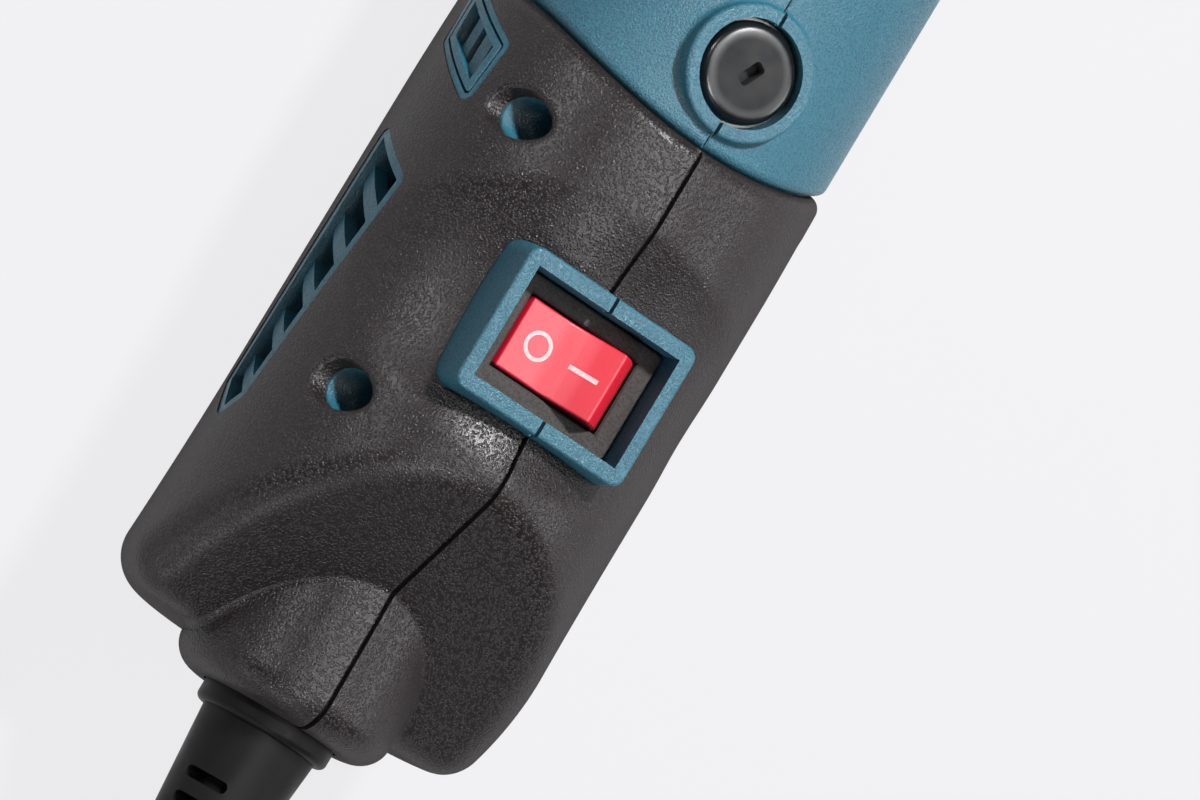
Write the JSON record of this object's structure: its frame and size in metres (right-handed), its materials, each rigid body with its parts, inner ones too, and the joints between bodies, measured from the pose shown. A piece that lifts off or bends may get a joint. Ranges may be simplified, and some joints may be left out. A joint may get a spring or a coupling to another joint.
{
  "type": "rotary tool",
  "caption": "Corded rotary tool with a round clamshell motor body, soft rear grip, top rocker switch, side vents, spindle lock and a collet nose.",
  "frame": {"origin": "centre of the collet's mouth, on the spindle axis", "axes": "+X along the spindle out of the collet, +Y to the tool's left, +Z to the side that carries the switch"},
  "size_m": [0.2536, 0.053, 0.0537],
  "materials": {
    "teal_plastic": "spark-eroded satin",
    "grip_rubber": "fine leather grain",
    "guard_rubber": "smooth satin",
    "black_plastic": "satin",
    "switch_plastic": "satin",
    "cap_plastic": "semi-gloss",
    "red_plastic": "semi-gloss",
    "lead_insulation": "smooth",
    "brass": "drawn",
    "copper": "drawn",
    "carbon": "matt",
    "lamination_steel": "stamped",
    "bearing_steel": "ground",
    "spring_steel": "drawn",
    "black_steel": "black oxide"
  },
  "bodies": {
    "housing": {"left_shell": "teal_plastic", "right_shell": "teal_plastic", "left_grip": "grip_rubber", "right_grip": "grip_rubber", "housing_screws": "black_steel", "nose_cap": "black_plastic", "cord_guard": "guard_rubber", "cord_clamp": "black_plastic", "cord_clamp_screws": "black_steel", "switch_body": "switch_plastic", "switch_terminals": "brass", "lead_wires": "lead_insulation", "field_core": "lamination_steel", "left_field_coil": "copper", "right_field_coil": "copper", "front_bearing_outer": "bearing_steel", "rear_bearing_outer": "bearing_steel", "rear_bearing_bush": "guard_rubber", "upper_brush_holder": "brass", "lower_brush_holder": "brass", "upper_brush_cap": "cap_plastic", "lower_brush_cap": "cap_plastic", "air_baffle": "black_plastic", "upper_brush_spring": "spring_steel", "lower_brush_spring": "spring_steel", "lock_spring": "spring_steel"},
    "switch_rocker": {"rocker": "red_plastic"},
    "rotor": {"armature_shaft": "bearing_steel", "armature_core": "lamination_steel", "armature_winding": "copper", "commutator": "copper", "cooling_fan": "black_plastic", "front_bearing_inner": "bearing_steel", "rear_bearing_inner": "bearing_steel", "lock_collar": "bearing_steel", "collet": "spring_steel"},
    "nut": {"collet_nut": "black_steel"},
    "spindle_lock": {"lock_button": "black_plastic", "lock_pin": "bearing_steel"},
    "brush_above": {"upper_brush": "carbon"},
    "brush_below": {"lower_brush": "carbon"},
    "front_balls": {"front_bearing_balls": "bearing_steel"},
    "rear_balls": {"rear_bearing_balls": "bearing_steel"}
  },
  "joints": [
    {"name": "rocker_tilt", "type": "hinge", "parent": "housing", "child": "switch_rocker", "pos_m": [-0.1674, 0, 0.019], "axis": [1, 0, 0], "range_deg": [0, 24]},
    {"name": "spindle_spin", "type": "hinge", "parent": "housing", "child": "rotor", "pos_m": [0, 0, 0], "axis": [1, 0, 0], "continuous": true},
    {"name": "collet_nut_turn", "type": "hinge", "parent": "rotor", "child": "nut", "pos_m": [0, 0, 0], "axis": [1, 0, 0], "range_deg": [0, 180]},
    {"name": "spindle_lock_press", "type": "slide", "parent": "housing", "child": "spindle_lock", "axis": [0, 0, -1], "range_m": [0, 0.0014], "stiffness_N_per_m": 400, "springref_m": -0.003, "deforming": ["lock_spring"]},
    {"name": "upper_brush_slide", "type": "slide", "parent": "housing", "child": "brush_above", "axis": [0, 0, 1], "range_m": [0, 0.0015], "stiffness_N_per_m": 400, "springref_m": -0.004, "deforming": ["upper_brush_spring"]},
    {"name": "lower_brush_slide", "type": "slide", "parent": "housing", "child": "brush_below", "axis": [0, 0, -1], "range_m": [0, 0.0015], "stiffness_N_per_m": 400, "springref_m": -0.004, "deforming": ["lower_brush_spring"]},
    {"name": "front_balls_roll", "type": "hinge", "parent": "housing", "child": "front_balls", "pos_m": [-0.0515, 0, 0], "axis": [1, 0, 0], "continuous": true},
    {"name": "rear_balls_roll", "type": "hinge", "parent": "housing", "child": "rear_balls", "pos_m": [-0.1428, 0, 0], "axis": [1, 0, 0], "continuous": true}
  ],
  "couplings": [
    {"joint": "front_balls_roll", "follows": "spindle_spin", "ratio": 0.374},
    {"joint": "rear_balls_roll", "follows": "spindle_spin", "ratio": 0.3596}
  ]
}
